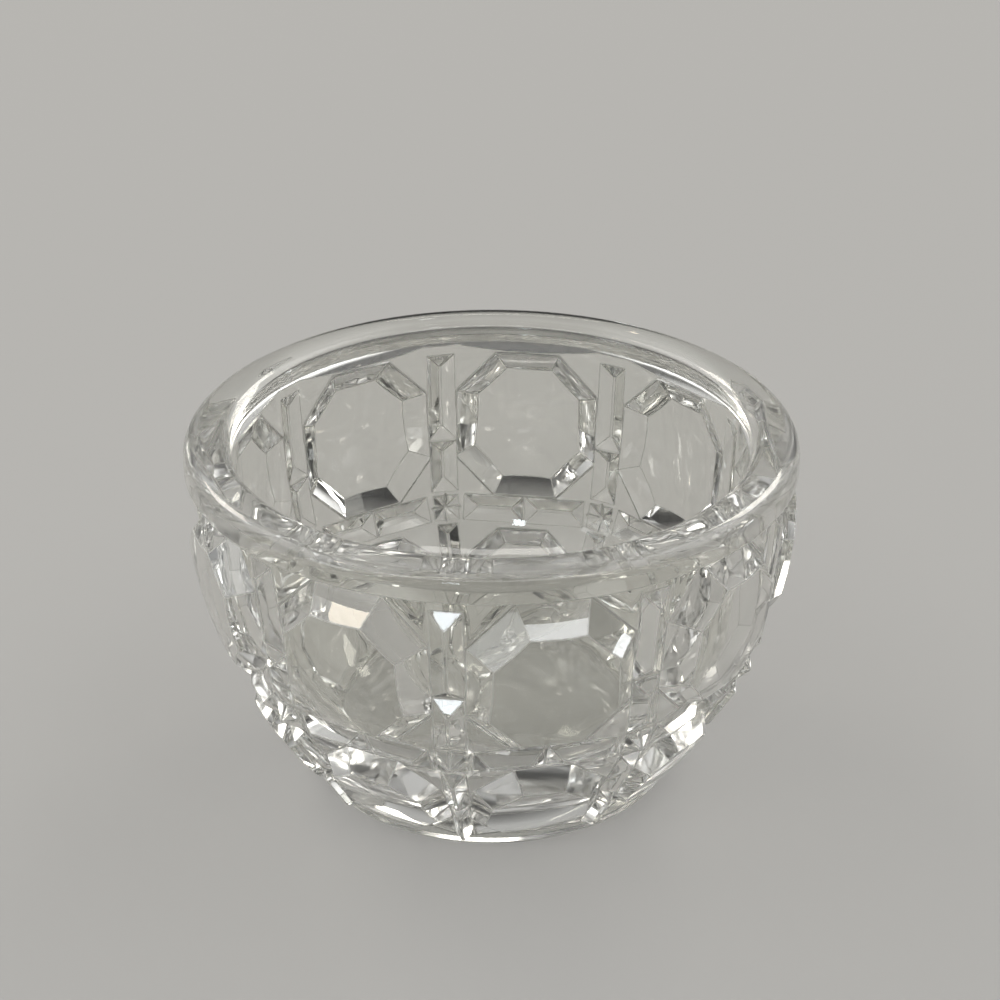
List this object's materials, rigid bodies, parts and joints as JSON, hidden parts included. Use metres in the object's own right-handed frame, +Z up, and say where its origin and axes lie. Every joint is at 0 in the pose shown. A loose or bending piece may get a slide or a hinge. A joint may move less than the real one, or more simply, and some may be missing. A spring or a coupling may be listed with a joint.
{
  "type": "salt cellar",
  "caption": "Small round open salt cellar in clear pressed glass: plain rounded rim, smooth bowl inside, and rows of bevelled octagon buttons parted by faceted cane bands.",
  "frame": {"origin": "middle of the underside of the base", "axes": "+Z up along the axis of the bowl, +X through the middle of one column of octagons"},
  "size_m": [0.063, 0.063, 0.0381],
  "materials": {
    "clear_glass": "polished, clear and colourless"
  },
  "bodies": {
    "root": {"glass_bowl": "clear_glass"}
  },
  "joints": []
}
